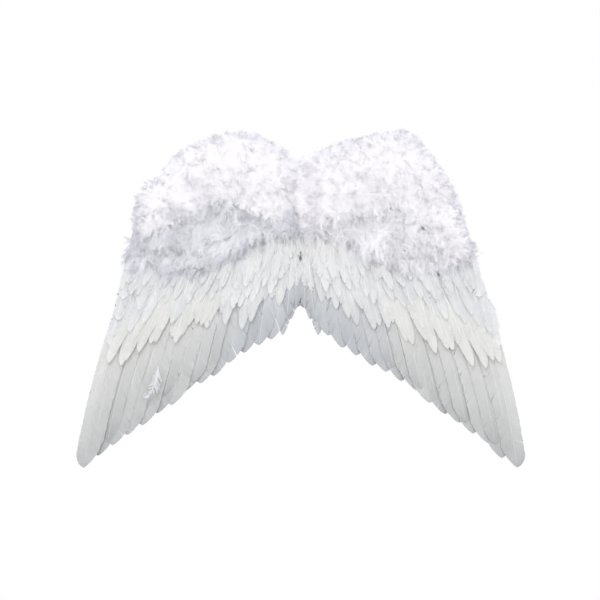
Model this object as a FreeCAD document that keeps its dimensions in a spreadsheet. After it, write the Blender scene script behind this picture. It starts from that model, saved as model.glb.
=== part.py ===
"""Feathered fairy wings on a stiff back panel, with two elastic shoulder loops.

Millimetres. +Z is up, -Y is the feathered front and +Y is the wearer's side. The origin is the middle
of the back pad's rear face. The right wing (+X) is modelled and the left wing mirrors it. Each wing
turns about the upright leg of its wire frame, which sits in a fabric sleeve on the back board.
"""

import FreeCAD, Part
import math
import os

import Sketcher
from FreeCAD import Placement, Rotation, Vector

# Driving dimensions: alias, value, what it is.
SIZES = [
    ("pad_thick", 6, "back pad"),
    ("pad_half_width", 24, ""),
    ("pad_half_height", 71, ""),
    ("pad_corner", 12, ""),
    ("pad_edge", 2, "rounding of the pad's rear edge"),
    ("panel_thick", 3, "back board behind the wing roots"),
    ("panel_half_width", 52, ""),
    ("panel_low", -72, ""),
    ("panel_high", 78, ""),
    ("panel_corner", 14, ""),
    ("hinge_x", 14, "upright wire leg, which is the hinge axis"),
    ("hinge_depth", 12, "axis in front of the pad's rear face"),
    ("fold_limit", 60, "degrees a wing folds forward"),
    ("fold_gap", 1, "left at the centre plane when folded"),
    ("wire_radius", 1.5, "steel frame wire"),
    ("sleeve_bore", 1.55, ""),
    ("sleeve_outer", 2.6, ""),
    ("sleeve_low", -50, ""),
    ("sleeve_high", 54, ""),
    ("sleeve_base_width", 16, ""),
    ("sleeve_base_thick", 0.6, ""),
    ("felt_depth", 14.2, "felt lining's rear face, in front of the origin"),
    ("felt_thick", 1.2, ""),
    ("board_thick", 2.5, "stiff wing board"),
    ("flight_tape_thick", 2.6, "felt strip under the flight quills"),
    ("row_tape_thick", 1.65, "felt strip under a covering row"),
    ("tape_height", 12, ""),
    ("flight_count", 14, "long feathers on each wing"),
    ("flight_short", 90, "innermost flight feather"),
    ("flight_long", 255, "outermost flight feather"),
    ("flight_half_width", 12.5, ""),
    ("flight_vane", 0.8, "vane thickness"),
    ("flight_shaft", 2.0, "shaft thickness"),
    ("flight_depth", 21.6, "shafts in front of the origin"),
    ("flight_roll", 8, "degrees each vane is rolled over its neighbour"),
    ("row_count", 14, "feathers in each covering row"),
    ("row_half_width", 12, ""),
    ("row_vane", 0.6, ""),
    ("row_shaft", 1.6, ""),
    ("row_depth", 20.4, "quill roots of a covering row"),
    ("row_roll", 5, ""),
    ("row_slant", 7, "degrees a covering row leans forward"),
    ("down_back", 18.2, "rear face of the down crest"),
    ("crest_thick", 24.8, ""),
    ("bank_back", 36.2, "rear face of the lower down bank"),
    ("bank_thick", 8.8, ""),
    ("strap_x", 38, "middle of each shoulder loop"),
    ("strap_width", 20, "elastic webbing"),
    ("strap_thick", 1.5, ""),
    ("strap_root_z", 40, "sewn end's outer face, above and below the origin"),
    ("strap_pivot_y", 6.5, "upright line that the loop swings about"),
    ("strap_tab", 24, "length fastened to the back board"),
    ("strap_gap", 0.1, "between a sewn end and the loop that lies on it"),
    ("rivet_z", 53, ""),
    ("rivet_radius", 1.6, ""),
    ("rivet_hole", 1.65, ""),
    ("rivet_head", 4, "dome radius on the wearer's side"),
    ("rivet_dome", 1.3, ""),
    ("rivet_washer", 3.5, ""),
    ("washer_thick", 1.2, ""),
    ("centre_half_width", 6.5, "down that covers the join"),
    ("centre_depth", 9.8, "its rear face, clear of the sleeves"),
    ("centre_thick", 5.6, ""),
]

doc = FreeCAD.newDocument("fairy_wings")
sheet = doc.addObject("Spreadsheet::Sheet", "sizes")
for line, (alias, value, note) in enumerate(SIZES, start=1):
    sheet.set(f"A{line}", alias)
    sheet.set(f"B{line}", str(value))
    sheet.set(f"C{line}", note)
    sheet.setAlias(f"B{line}", alias)
doc.recompute()


def size(alias):
    """A driving dimension's value."""
    return float(sheet.get(alias))


HINGE_Y = -size("hinge_depth")
BOARD_BACK = size("felt_depth") + size("felt_thick")
BOARD_FRONT = BOARD_BACK + size("board_thick")
STRAP_Z = size("strap_root_z") + size("strap_gap") + size("strap_thick") / 2
QUILL_TIP_GAP = 14  # the shaft ends this far short of the vane's tip

# Outlines of the right wing in X and Z, each corner with its rounding radius.
BOARD_OUTLINE = [
    (19, -78, 5), (19, 64, 8), (60, 100, 26), (146, 104, 44), (206, 54, 44), (228, -12, 40), (231, -94, 8),
]
FELT_OUTLINE = [
    (22, -73, 4), (22, 60, 8), (62, 95, 24), (144, 98, 40), (201, 51, 40), (222, -12, 36), (225, -88, 6),
]
WIRE_ROUTE = [
    (119, -62, 0), (14, -62, 9), (14, 66, 14), (60, 90, 30), (142, 92, 40), (196, 46, 40),
    (212, -14, 36), (212, -62, 14), (120.5, -62, 0),
]
CREST_OUTLINE = [
    (15, 34.5, 3), (15, 88, 8), (50, 122, 26), (132, 134, 60), (192, 98, 40), (222, 34.5, 8),
]
BANK_OUTLINE = [
    (16, -20, 8), (16, 33, 3), (222, 33, 6), (238, -28, 20), (240, -54, 12), (130, -44, 60),
]
# The shoulder loop's middle line in Y and Z, from its upper sewn end to its lower one.
STRAP_ROUTE = [
    (size("strap_pivot_y"), STRAP_Z, 0), (32, STRAP_Z, 30), (84, 64, 26), (126, 22, 38), (122, -52, 40),
    (72, -96, 34), (34, -STRAP_Z, 24), (size("strap_pivot_y"), -STRAP_Z, 0),
]
# Where the frame wire is tied to the felt: X, Z and the wire's direction there in degrees.
TIES = [
    (42, -62, 0), (172, -62, 0), (212, -38, 90), (204, 16, -75), (169, 69, -40.4), (100, 91, 1.4), (37, 78, 27.6),
]


def rounded(corners, closed=True):
    """Lines through the corners, joined by arcs tangent to them."""
    points = [Vector(x, y, 0) for x, y, _ in corners]
    count = len(points)
    ends = []
    for i, (corner, (_, _, radius)) in enumerate(zip(points, corners)):
        if radius == 0 or (not closed and i in (0, count - 1)):
            ends.append((corner, corner, None))
            continue
        back = (points[i - 1] - corner).normalize()
        ahead = (points[(i + 1) % count] - corner).normalize()
        half = back.getAngle(ahead) / 2
        reach = radius / math.tan(half)
        middle = corner + (back + ahead).normalize() * (radius / math.sin(half) - radius)
        ends.append((corner + back * reach, corner + ahead * reach, middle))
    edges = []
    for i, (start, end, middle) in enumerate(ends):
        if middle is not None:
            edges.append(Part.Arc(start, middle, end))
        if closed or i < count - 1:
            following = ends[(i + 1) % count][0]
            if (following - end).Length > 1e-6:
                edges.append(Part.LineSegment(end, following))
    return edges


def origin_plane(body, role):
    """One of a body's own origin planes."""
    return next(f for f in body.Origin.OriginFeatures if f.Role == role)


def sketch_in(body, role, edges, circles=()):
    """A sketch on one of the body's origin planes, with its corners joined."""
    sketch = body.newObject("Sketcher::SketchObject", body.Name + "_sketch")
    sketch.AttachmentSupport = [(origin_plane(body, role), "")]
    sketch.MapMode = "FlatFace"
    sketch.addGeometry(edges, False)
    for x, y, radius in circles:
        sketch.addGeometry(Part.Circle(Vector(x, y, 0), Vector(0, 0, 1), radius), False)
    for i in range(len(edges)):
        j = (i + 1) % len(edges)
        for end in (1, 2):
            for start in (1, 2):
                if (sketch.getPoint(i, end) - sketch.getPoint(j, start)).Length < 1e-6:
                    sketch.addConstraint(Sketcher.Constraint("Coincident", i, end, j, start))
    return sketch


def plate(name, edges, thickness, back, circles=()):
    """A body padded to both sides of its middle plane. back is its rear face's depth: alias or number."""
    body = doc.addObject("PartDesign::Body", name)
    sketch = sketch_in(body, "XZ_Plane", edges, circles)
    pad = body.newObject("PartDesign::Pad", name + "_pad")
    pad.Profile = sketch
    pad.SideType = "Symmetric"
    pad.setExpression("Length", f"sizes.{thickness}")
    body.setExpression(".Placement.Base.y", f"-({back}) - sizes.{thickness} / 2")
    sketch.Visibility = False
    return body


def sweep(name, section, path_edges, path_place):
    """A solid swept along a flat route. section is an object that stands at the route's start."""
    route = doc.addObject("Sketcher::SketchObject", name + "_route")
    route.addGeometry(path_edges, False)
    route.Placement = path_place
    doc.recompute()
    swept = doc.addObject("Part::Sweep", name)
    swept.Sections = [section]
    swept.Spine = (route, [f"Edge{i + 1}" for i in range(len(path_edges))])
    swept.Solid = True
    swept.Frenet = False
    return swept


def box(name, length, width, height, corner):
    """A Part box whose lowest corner is given."""
    made = doc.addObject("Part::Box", name)
    made.Length, made.Width, made.Height = length, width, height
    made.Placement.Base = Vector(*corner)
    return made


def cylinder(name, radius, height, start, axis=(0, 0, 1)):
    """A Part cylinder from start along axis. radius is a cell's alias."""
    made = doc.addObject("Part::Cylinder", name)
    made.setExpression("Radius", f"sizes.{radius}")
    made.Height = height
    made.Placement = Placement(Vector(*start), Rotation(Vector(0, 0, 1), Vector(*axis)))
    return made


def combined(kind, name, shapes):
    """A fuse or compound of document objects."""
    made = doc.addObject(kind, name)
    if kind == "Part::MultiFuse":
        made.Shapes = shapes
    else:
        made.Links = shapes
    return made


def cut(name, base, tool):
    """base without tool."""
    made = doc.addObject("Part::Cut", name)
    made.Base, made.Tool = base, tool
    return made


def mirrored(source, name):
    """source's reflection in the centre plane."""
    made = doc.addObject("Part::Mirroring", name)
    made.Source = source
    made.Normal, made.Base = (1, 0, 0), (0, 0, 0)
    return made


def vane_outline(length, half_width, bare):
    """A feather's vane, pointing down from a root at the origin, with a bare quill above it."""
    tip = half_width * 0.86
    shoulder = bare + half_width * 1.3
    return rounded([
        (-1.2, -bare, 0), (1.2, -bare, 0), (half_width, -shoulder, half_width * 0.8),
        (tip, -length, tip * 0.94), (-tip, -length, tip * 0.94), (-half_width, -shoulder, half_width * 0.8),
    ])


def shaft_outline(length, root, tip):
    """A feather's tapered shaft from the origin down."""
    end = -(length - QUILL_TIP_GAP)
    return rounded([(-root, 0, 0), (root, 0, 0), (tip, end, 0), (-tip, end, 0)])


def slab(edges, thickness):
    """A solid on both sides of the XZ plane from edges drawn in X and Y."""
    wire = Part.Wire(Part.__sortEdges__([e.toShape() for e in edges]))
    solid = Part.Face(wire).extrude(Vector(0, 0, thickness))
    solid.translate(Vector(0, 0, -thickness / 2))
    solid.rotate(Vector(0, 0, 0), Vector(1, 0, 0), 90)
    return solid


def feather_place(tip_x, tip_z, length, lean, roll, slant, depth):
    """Puts a feather's root so that its tip is where the row wants it."""
    turn = Rotation(Vector(0, 1, 0), -lean)
    turn = turn.multiply(Rotation(Vector(1, 0, 0), -slant))
    turn = turn.multiply(Rotation(Vector(0, 0, 1), roll))
    reach = math.radians(lean)
    root = Vector(tip_x - length * math.sin(reach), -depth, tip_z + length * math.cos(reach))
    return Placement(root, turn)


def flight_feathers():
    """The long feathers, short at the centre and long at the wing's tip, as a body each."""
    made = []
    count = int(size("flight_count"))
    for i in range(count):
        share = i / (count - 1)
        length = size("flight_short") + (size("flight_long") - size("flight_short")) * share
        name = f"right_flight_feather_{i + 1:02d}"
        body = doc.addObject("PartDesign::Body", name)
        parts = [
            ("vane", vane_outline(length, size("flight_half_width"), 34 + 12 * share), "flight_vane"),
            ("shaft", shaft_outline(length, 1.7, 0.6), "flight_shaft"),
        ]
        for part, edges, thickness in parts:
            pad = body.newObject("PartDesign::Pad", f"{name}_{part}")
            pad.Profile = sketch_in(body, "XZ_Plane", edges)
            pad.SideType = "Symmetric"
            pad.setExpression("Length", f"sizes.{thickness}")
        tip_x = 38 + 254 * share
        lean = 8 + 22 * share - 13 * share**2
        body.Placement = feather_place(
            tip_x, -118 - 0.69 * tip_x, length, lean, size("flight_roll"), 0, size("flight_depth")
        )
        made.append(body)
    return made


def covering_row(name, tip_x, tip_z, lengths):
    """A row of shorter feathers that lies over the row below it, as separate solids in one group.

    tip_x and tip_z give the first and last tip, and lengths the first and last feather."""
    count = int(size("row_count"))
    solids = []
    for i in range(count):
        share = i / (count - 1)
        x, z, length = (a + (b - a) * share for a, b in (tip_x, tip_z, lengths))
        vane = slab(vane_outline(length, size("row_half_width"), 18), size("row_vane"))
        solid = vane.fuse(slab(shaft_outline(length, 1.3, 0.5), size("row_shaft")))
        lean = 8 + 22 * share - 8 * share**2
        place = feather_place(x, z, length, lean, size("row_roll"), size("row_slant"), size("row_depth"))
        solid.Placement = place.multiply(solid.Placement)
        solids.append(solid)
    row = doc.addObject("Part::Feature", name)
    row.Shape = Part.Compound(solids)
    return row


def strip(name, thickness, start, end):
    """A felt strip on the board's front, between two points of its middle line in X and Z."""
    run = Vector(end[0] - start[0], 0, end[1] - start[1])
    made = doc.addObject("Part::Box", name)
    made.Length = run.Length
    made.setExpression("Width", f"sizes.{thickness}")
    made.setExpression("Height", "sizes.tape_height")
    turn = Rotation(Vector(0, 1, 0), -math.degrees(math.atan2(run.z, run.x)))
    corner = Vector(start[0], -BOARD_FRONT - size(thickness), start[1])
    made.Placement = Placement(corner + turn.multVec(Vector(0, 0, -size("tape_height") / 2)), turn)
    return made


def wire_frame():
    """The bent steel wire, whose upright inner leg is the wing's hinge pin."""
    start_x, start_z, _ = WIRE_ROUTE[0]
    section = doc.addObject("Part::Circle", "wire_section")
    section.setExpression("Radius", "sizes.wire_radius")
    section.Placement = Placement(Vector(start_x, HINGE_Y, start_z), Rotation(Vector(0, 0, 1), Vector(-1, 0, 0)))
    upright = Placement(Vector(0, HINGE_Y, 0), Rotation(Vector(1, 0, 0), 90))
    return sweep("right_wire_frame", section, rounded(WIRE_ROUTE, closed=False), upright)


def ferrule():
    """The crimped tube that joins the wire's two ends."""
    start = (111, HINGE_Y, -62)
    outer = Part.makeCylinder(2.1, 17.5, Vector(*start), Vector(1, 0, 0))
    inner = Part.makeCylinder(size("wire_radius") + 0.02, 17.5, Vector(*start), Vector(1, 0, 0))
    made = doc.addObject("Part::Feature", "right_wire_ferrule")
    made.Shape = outer.cut(inner)
    return made


def wire_ties():
    """Felt saddles that hold the wire against the lining, one solid each."""
    back = -size("felt_depth")
    long, wide, flange, crown, bore = 8, 14, 0.6, 2.3, 1.6
    solids = []
    for x, z, angle in TIES:
        axis = Vector(1, 0, 0)
        saddle = Part.makeCylinder(crown, long, Vector(-long / 2, HINGE_Y, 0), axis)
        saddle = saddle.fuse(Part.makeBox(long, HINGE_Y - back, 2 * crown, Vector(-long / 2, back, -crown)))
        saddle = saddle.fuse(Part.makeBox(long, flange, wide, Vector(-long / 2, back, -wide / 2)))
        saddle = saddle.cut(Part.makeCylinder(bore, long + 2, Vector(-long / 2 - 1, HINGE_Y, 0), axis))
        saddle = saddle.cut(Part.makeBox(long + 2, HINGE_Y - back + 1, 2 * bore, Vector(-long / 2 - 1, back - 1, -bore)))
        below = Part.makeBox(long + 2, 2, wide + 2, Vector(-long / 2 - 1, back - 2, -wide / 2 - 1))
        saddle = saddle.cut(below)
        saddle.Placement = Placement(Vector(x, 0, z), Rotation(Vector(0, 1, 0), -angle))
        solids.append(saddle)
    made = doc.addObject("Part::Feature", "right_wire_ties")
    made.Shape = Part.Compound(solids)
    return made


def fold_clearance(name):
    """The space beside the hinge that would cross the centre plane with the wing folded."""
    reach = 320
    fold = math.radians(size("fold_limit"))
    normal = Vector(math.cos(fold), math.sin(fold), 0)
    face = Vector(size("hinge_x"), HINGE_Y, 0) + normal * (size("fold_gap") - size("hinge_x"))
    turn = Rotation(Vector(0, 0, 1), 180 + size("fold_limit"))
    made = doc.addObject("Part::Box", name)
    made.Length = made.Width = made.Height = reach
    made.Placement = Placement(face + turn.multVec(Vector(0, -reach / 2, -reach / 2)), turn)
    return made


def down_solid(name, outline, thickness, back):
    """A mass of down over the feathers' roots, cut back so that the folded wings only meet."""
    body = plate(name + "_mass", rounded(outline), thickness, f"sizes.{back}")
    return cut(name, body, fold_clearance(name + "_clearance"))


def hinge_sleeve():
    """The fabric sleeve on the back board that holds the wire's upright leg."""
    low, high = size("sleeve_low"), size("sleeve_high")
    height = high - low
    x = size("hinge_x")
    board = -(size("pad_thick") + size("panel_thick"))
    tube = cylinder("sleeve_tube", "sleeve_outer", height, (x, HINGE_Y, low))
    base_width, base_thick = size("sleeve_base_width"), size("sleeve_base_thick")
    base = box("sleeve_base", base_width, base_thick, height, (x - base_width / 2, board - base_thick, low))
    web = box("sleeve_web", 3.2, board - HINGE_Y, height, (x - 1.6, HINGE_Y, low))
    bore = cylinder("sleeve_hole", "sleeve_bore", height, (x, HINGE_Y, low))
    solid = combined("Part::MultiFuse", "sleeve_solid", [tube, base, web])
    return cut("right_hinge_sleeve", solid, bore)


def back_board():
    """The stiff panel that carries both hinges and the straps."""
    half, low, high = size("panel_half_width"), size("panel_low"), size("panel_high")
    corner = size("panel_corner")
    outline = rounded([(-half, low, corner), (-half, high, corner), (half, high, corner), (half, low, corner)])
    x, z, radius = size("strap_x"), size("rivet_z"), size("rivet_hole")
    holes = [(a * x, b * z, radius) for a in (-1, 1) for b in (-1, 1)]
    return plate("back_board", outline, "panel_thick", "sizes.pad_thick", holes)


def back_pad():
    """The felted pad that rests on the wearer's back."""
    half, high, corner = size("pad_half_width"), size("pad_half_height"), size("pad_corner")
    outline = rounded([(-half, -high, corner), (-half, high, corner), (half, high, corner), (half, -high, corner)])
    body = plate("back_pad", outline, "pad_thick", "0")
    doc.recompute()
    pad = body.Tip
    rear = size("pad_thick") / 2
    names = [
        f"Edge{i + 1}"
        for i, edge in enumerate(pad.Shape.Edges)
        if all(abs(v.Point.y - rear) < 1e-6 for v in edge.Vertexes)
    ]
    fillet = body.newObject("PartDesign::Fillet", "back_pad_edge")
    fillet.Base = (pad, names)
    fillet.setExpression("Radius", "sizes.pad_edge")
    return body


def strap_loop():
    """The free loop of elastic webbing, with round ends that lie on the sewn ends."""
    width, thick, pivot = size("strap_width"), size("strap_thick"), size("strap_pivot_y")
    section = doc.addObject("Part::Plane", "strap_section")
    section.setExpression("Length", "sizes.strap_width")
    section.setExpression("Width", "sizes.strap_thick")
    turn = Rotation(Vector(1, 0, 0), Vector(0, 0, 1), Vector(0, -1, 0), "XYZ")
    x = size("strap_x")
    section.Placement = Placement(Vector(x - width / 2, pivot, STRAP_Z - thick / 2), turn)
    side = Placement(Vector(x, 0, 0), Rotation(Vector(0, 1, 0), Vector(0, 0, 1), Vector(1, 0, 0), "XYZ"))
    band = sweep("strap_band", section, rounded(STRAP_ROUTE, closed=False), side)
    ends = []
    for sign in (1, -1):
        made = doc.addObject("Part::Cylinder", "strap_round_end")
        made.setExpression("Radius", "sizes.strap_width / 2")
        made.setExpression("Height", "sizes.strap_thick")
        made.Placement.Base = Vector(x, pivot, sign * STRAP_Z - thick / 2)
        ends.append(made)
    return combined("Part::MultiFuse", "right_strap_loop", [band, *ends])


def strap_ends():
    """The webbing's sewn ends, flat on the back board and bent out to the loop's pivot line."""
    x, width, thick = size("strap_x"), size("strap_width"), size("strap_thick")
    root, pivot, tab = size("strap_root_z"), size("strap_pivot_y"), size("strap_tab")
    back = -size("pad_thick")
    end = Part.makeBox(width, thick, tab + thick, Vector(x - width / 2, back, root - thick))
    end = end.fuse(Part.makeBox(width, pivot - back, thick, Vector(x - width / 2, back, root - thick)))
    end = end.fuse(Part.makeCylinder(width / 2, thick, Vector(x, pivot, root - thick)))
    end = end.cut(Part.makeCylinder(size("rivet_hole"), 4, Vector(x, back - 1, size("rivet_z")), Vector(0, 1, 0)))
    end = end.removeSplitter()
    lower = end.mirror(Vector(0, 0, 0), Vector(0, 0, 1))
    right = [end, lower]
    left = [solid.mirror(Vector(0, 0, 0), Vector(1, 0, 0)) for solid in right]
    made = doc.addObject("Part::Feature", "strap_ends")
    made.Shape = Part.Compound(right + left)
    return made


def strap_rivets():
    """Four rivets with a domed head behind and a washer in front of the board."""
    tab_face = -size("pad_thick") + size("strap_thick")
    board = -(size("pad_thick") + size("panel_thick"))
    head, dome = size("rivet_head"), size("rivet_dome")
    ball = (head**2 + dome**2) / (2 * dome)
    solids = []
    for x in (-size("strap_x"), size("strap_x")):
        for z in (-size("rivet_z"), size("rivet_z")):
            shank = Part.makeCylinder(
                size("rivet_radius"), tab_face - board, Vector(x, board, z), Vector(0, 1, 0)
            )
            washer = Part.makeCylinder(
                size("rivet_washer"), size("washer_thick"), Vector(x, board, z), Vector(0, -1, 0)
            )
            sphere = Part.makeSphere(ball, Vector(x, tab_face + dome - ball, z))
            crown = Part.makeCylinder(head + 1, dome + 1, Vector(x, tab_face, z), Vector(0, 1, 0)).common(sphere)
            solids.append(shank.fuse([washer, crown]))
    made = doc.addObject("Part::Feature", "strap_rivets")
    made.Shape = Part.Compound(solids)
    return made


def centre_feathers():
    """Small feathers that hang over the join between the wings."""
    solids = []
    for top, length, depth in ((-20, 82, 11.5), (-8, 60, 14.2)):
        feather = slab(vane_outline(length, 8, 14), 0.6)
        feather = feather.fuse(slab(shaft_outline(length, 1, 0.4), size("row_shaft")))
        feather.translate(Vector(0, -depth, top))
        solids.append(feather)
    made = doc.addObject("Part::Feature", "centre_feathers")
    made.Shape = Part.Compound(solids)
    return made


def centre_down():
    """The down that hides the join."""
    half = size("centre_half_width")
    outline = rounded([(-half, -4, 3), (-half, 90, 7), (half, 90, 7), (half, -4, 3)])
    return plate("centre_down", outline, "centre_thick", "sizes.centre_depth")


def right_wing():
    """Every piece of the right wing, in the order it is laid up from the back."""
    board_back = "sizes.felt_depth + sizes.felt_thick"
    tapes = [
        strip("flight_strip", "flight_tape_thick", (19, -60), (226, -83)),
        strip("secondary_strip", "row_tape_thick", (19, -27), (227, -48)),
        strip("covert_strip", "row_tape_thick", (19, 4), (223, -20)),
    ]
    return [
        wire_frame(),
        ferrule(),
        wire_ties(),
        plate("right_felt_lining", rounded(FELT_OUTLINE), "felt_thick", "sizes.felt_depth"),
        plate("right_wing_board", rounded(BOARD_OUTLINE), "board_thick", board_back),
        combined("Part::Compound", "right_feather_tapes", tapes),
        *flight_feathers(),
        covering_row("right_secondary_feathers", (36, 272), (-96, -167), (75, 130)),
        covering_row("right_covert_feathers", (34, 256), (-68, -108), (78, 100)),
        down_solid("right_down_bank", BANK_OUTLINE, "bank_thick", "bank_back"),
        down_solid("right_down_crest", CREST_OUTLINE, "crest_thick", "down_back"),
    ]


def build():
    """All the pieces, right and left."""
    right = [*right_wing(), hinge_sleeve(), strap_loop()]
    middle = [back_board(), back_pad(), strap_ends(), strap_rivets(), centre_feathers(), centre_down()]
    doc.recompute()
    left = [mirrored(piece, piece.Name.replace("right_", "left_")) for piece in right]
    doc.recompute()
    return right + left + middle


def check(pieces):
    """Stops if any object failed, or any piece is empty or not valid."""
    for item in doc.Objects:
        if {"Invalid", "Error"} & set(item.State):
            raise SystemExit(f"{item.Name} is {item.State}")
    for piece in pieces:
        if piece.Shape.isNull() or not piece.Shape.isValid() or not piece.Shape.Solids:
            raise SystemExit(f"{piece.Name} has no valid solid")


def write(pieces):
    """Each piece to its own STEP file, named by its label."""
    os.makedirs("parts", exist_ok=True)
    for piece in pieces:
        piece.Shape.exportStep(f"parts/{piece.Label}.step")
    print(len(pieces), "pieces written")


ALL = build()
check(ALL)
write(ALL)
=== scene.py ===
"""Feathered fairy wings: feathers, down, felt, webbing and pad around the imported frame.

Shapes are worked out in millimetres, in the row frame, and written in metres. +X is the right wing, -Y is the
feathered front and +Z is up. A wing's pieces are laid out on the right and mirrored for the left, each
side with its own random draws.
"""

import math
from dataclasses import dataclass

import bpy
import numpy as np
from mathutils import Matrix, Vector


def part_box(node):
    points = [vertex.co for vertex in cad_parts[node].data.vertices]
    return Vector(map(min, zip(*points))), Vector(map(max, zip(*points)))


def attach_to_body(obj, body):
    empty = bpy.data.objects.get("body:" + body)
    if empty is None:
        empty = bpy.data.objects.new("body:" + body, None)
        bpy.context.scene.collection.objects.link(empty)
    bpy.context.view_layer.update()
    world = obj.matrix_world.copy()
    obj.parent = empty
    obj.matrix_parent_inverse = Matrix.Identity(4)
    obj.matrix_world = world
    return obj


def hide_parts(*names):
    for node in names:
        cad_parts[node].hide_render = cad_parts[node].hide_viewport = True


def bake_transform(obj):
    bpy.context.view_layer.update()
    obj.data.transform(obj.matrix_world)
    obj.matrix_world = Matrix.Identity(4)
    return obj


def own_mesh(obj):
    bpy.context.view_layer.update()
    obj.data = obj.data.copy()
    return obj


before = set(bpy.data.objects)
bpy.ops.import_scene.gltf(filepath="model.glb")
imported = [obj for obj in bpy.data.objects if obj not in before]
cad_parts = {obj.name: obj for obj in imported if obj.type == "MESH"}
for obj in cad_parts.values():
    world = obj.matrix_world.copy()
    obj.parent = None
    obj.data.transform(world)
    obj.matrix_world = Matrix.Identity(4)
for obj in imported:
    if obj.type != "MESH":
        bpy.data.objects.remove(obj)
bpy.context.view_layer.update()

MM = 0.001
SCENE = bpy.context.scene
SIGNS = {"left": -1, "right": 1}

# Layers of the wing, in millimetres in front of the origin.
FLIGHT_DEPTH = 21.6
ROW_DEPTH = 20.4
DOWN_BACK = 18.4  # the down stays in front of this over the wing's board
FELT_BACK = 14.1

BOARD_X = (12, 210)  # the wing board's reach, and its top below
BOARD_TOP = 100
FLIGHT_COUNT = 14
ROW_COUNT = 28
TIP_X = (38, 292)  # the first and the last flight feather's tip
TRAILING_EDGE = (-119, -0.685)  # the tips' height at the centre, and its slope outwards
MOUND_GROWTH = 4  # how far a mound of down swells past its outline
STRAP_X = 38
PAD_SWELL = 2.4
PAD_CHANNELS = (-36, 0, 36)  # the heights at which the pad is sewn across
FLOOR_SEEN = 0.70  # the surroundings' brightness below the horizon

# The down's outlines in X and Z, from the centre over the top, round the outside and back below.
CREST_EDGE = {
    "left": [
        (2, 86), (24, 100), (52, 114), (81, 123), (126, 113), (163, 92), (184, 67), (203, 56), (214, 32),
        (215, 2), (206, -12), (182, 8), (150, 28), (104, 42), (60, 34), (24, 20), (1, 12),
    ],
    "right": [
        (2, 86), (20, 95), (70, 112), (130, 123), (152, 114), (176, 84), (198, 52), (214, 2), (226, -22),
        (224, -42), (206, -40), (184, -12), (152, 14), (110, 31), (62, 33), (24, 20), (1, 12),
    ],
}
BANK_EDGE = {
    "left": [
        (2, 26), (56, 46), (110, 52), (196, 34), (214, 0), (222, -20), (225, -35), (216, -46), (168, -50),
        (120, -48), (88, -32), (56, -14), (28, -1), (1, 1),
    ],
    "right": [
        (2, 26), (56, 44), (110, 48), (186, 26), (212, -10), (221, -34), (213, -47), (168, -48), (122, -47),
        (88, -31), (56, -13), (28, -1), (1, 1),
    ],
}
# How far out each side's feathers reach, in X and Z: the first and last tip along the outer edge, and how far
# the ends of the rows and the outermost flight feathers' roots draw in.
EDGE_TIPS = {"left": ((231, -72), (256, -152)), "right": ((238, -78), (265, -160))}
DRAWN_IN = {"left": 10, "right": 3}
CENTRE_EDGE = [(-4, -5), (-5, 30), (-5, 80), (0, 83), (5, 80), (5, 30), (4, -5), (0, -11)]
FELT_EDGE = [
    (22, -66), (22, 56), (34, 78), (64, 93), (104, 97), (142, 96), (172, 78), (200, 50), (214, 16),
    (222, -16), (224, -50), (225, -82), (216, -87), (120, -80), (32, -74),
]
# One webbing strap's middle line in Y and Z, from its upper sewn end round the loop to its lower one.
STRAP_LINE = [
    (-5.2, 64), (-5.2, 54), (-5.2, 45), (-3.4, 41.4), (2, 40.8), (14, 41.4), (32, 45), (58, 55), (86, 58),
    (110, 44), (122, 18), (124, -16), (118, -50), (100, -77), (76, -84), (55, -70), (38, -51), (24, -42.6),
    (12, -40.9), (2, -40.8), (-3.4, -41.4), (-5.2, -45), (-5.2, -54), (-5.2, -64),
]


# ------------ materials


def node(tree, kind, inputs=None, **settings):
    """A shader node with its settings and its input values or links."""
    made = tree.nodes.new(kind)
    for key, value in settings.items():
        setattr(made, key, value)
    for key, value in (inputs or {}).items():
        if isinstance(value, bpy.types.NodeSocket):
            tree.links.new(value, made.inputs[key])
        else:
            made.inputs[key].default_value = value
    return made


def ramp(tree, factor, stops):
    """A colour ramp's output through stops of (position, (r, g, b))."""
    made = node(tree, "ShaderNodeValToRGB", {"Fac": factor})
    elements = made.color_ramp.elements
    while len(elements) < len(stops):
        elements.new(0.5)
    for element, (position, color) in zip(elements, stops):
        element.position = position
        element.color = (*color, 1)
    return made.outputs["Color"]


def multiply(tree, a, b):
    """Two colours multiplied."""
    made = node(tree, "ShaderNodeMix", data_type="RGBA", blend_type="MULTIPLY")
    made.inputs[0].default_value = 1
    tree.links.new(a, made.inputs[6])
    tree.links.new(b, made.inputs[7])
    return made.outputs[2]


def grey(value):
    """A neutral colour."""
    return (value, value, value)


def start_material(name):
    """An empty node material and its tree."""
    made = bpy.data.materials.new(name)
    made.use_nodes = True
    made.node_tree.nodes.clear()
    return made, made.node_tree


def finish_material(tree, color, normal, roughness, thin=0.0, metallic=0.0, sheen=0.0):
    """Joins colour and normal to a surface. thin is the share of light that passes through."""
    surface = node(tree, "ShaderNodeBsdfPrincipled", {"Base Color": color, "Normal": normal})
    surface.inputs["Roughness"].default_value = roughness
    surface.inputs["Metallic"].default_value = metallic
    surface.inputs["Sheen Weight"].default_value = sheen
    shader = surface.outputs[0]
    if thin:
        through = node(tree, "ShaderNodeBsdfTranslucent", {"Color": color, "Normal": normal})
        mixed = node(tree, "ShaderNodeMixShader", {0: thin, 1: shader, 2: through.outputs[0]})
        shader = mixed.outputs[0]
    node(tree, "ShaderNodeOutputMaterial", {"Surface": shader})


def bumped(tree, height, strength, distance):
    """A normal from a height."""
    made = node(tree, "ShaderNodeBump", {"Height": height, "Strength": strength, "Distance": distance})
    return made.outputs[0]


def attribute(tree, key):
    """A value that a piece's points hold."""
    return node(tree, "ShaderNodeAttribute", attribute_name=key).outputs["Fac"]


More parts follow.
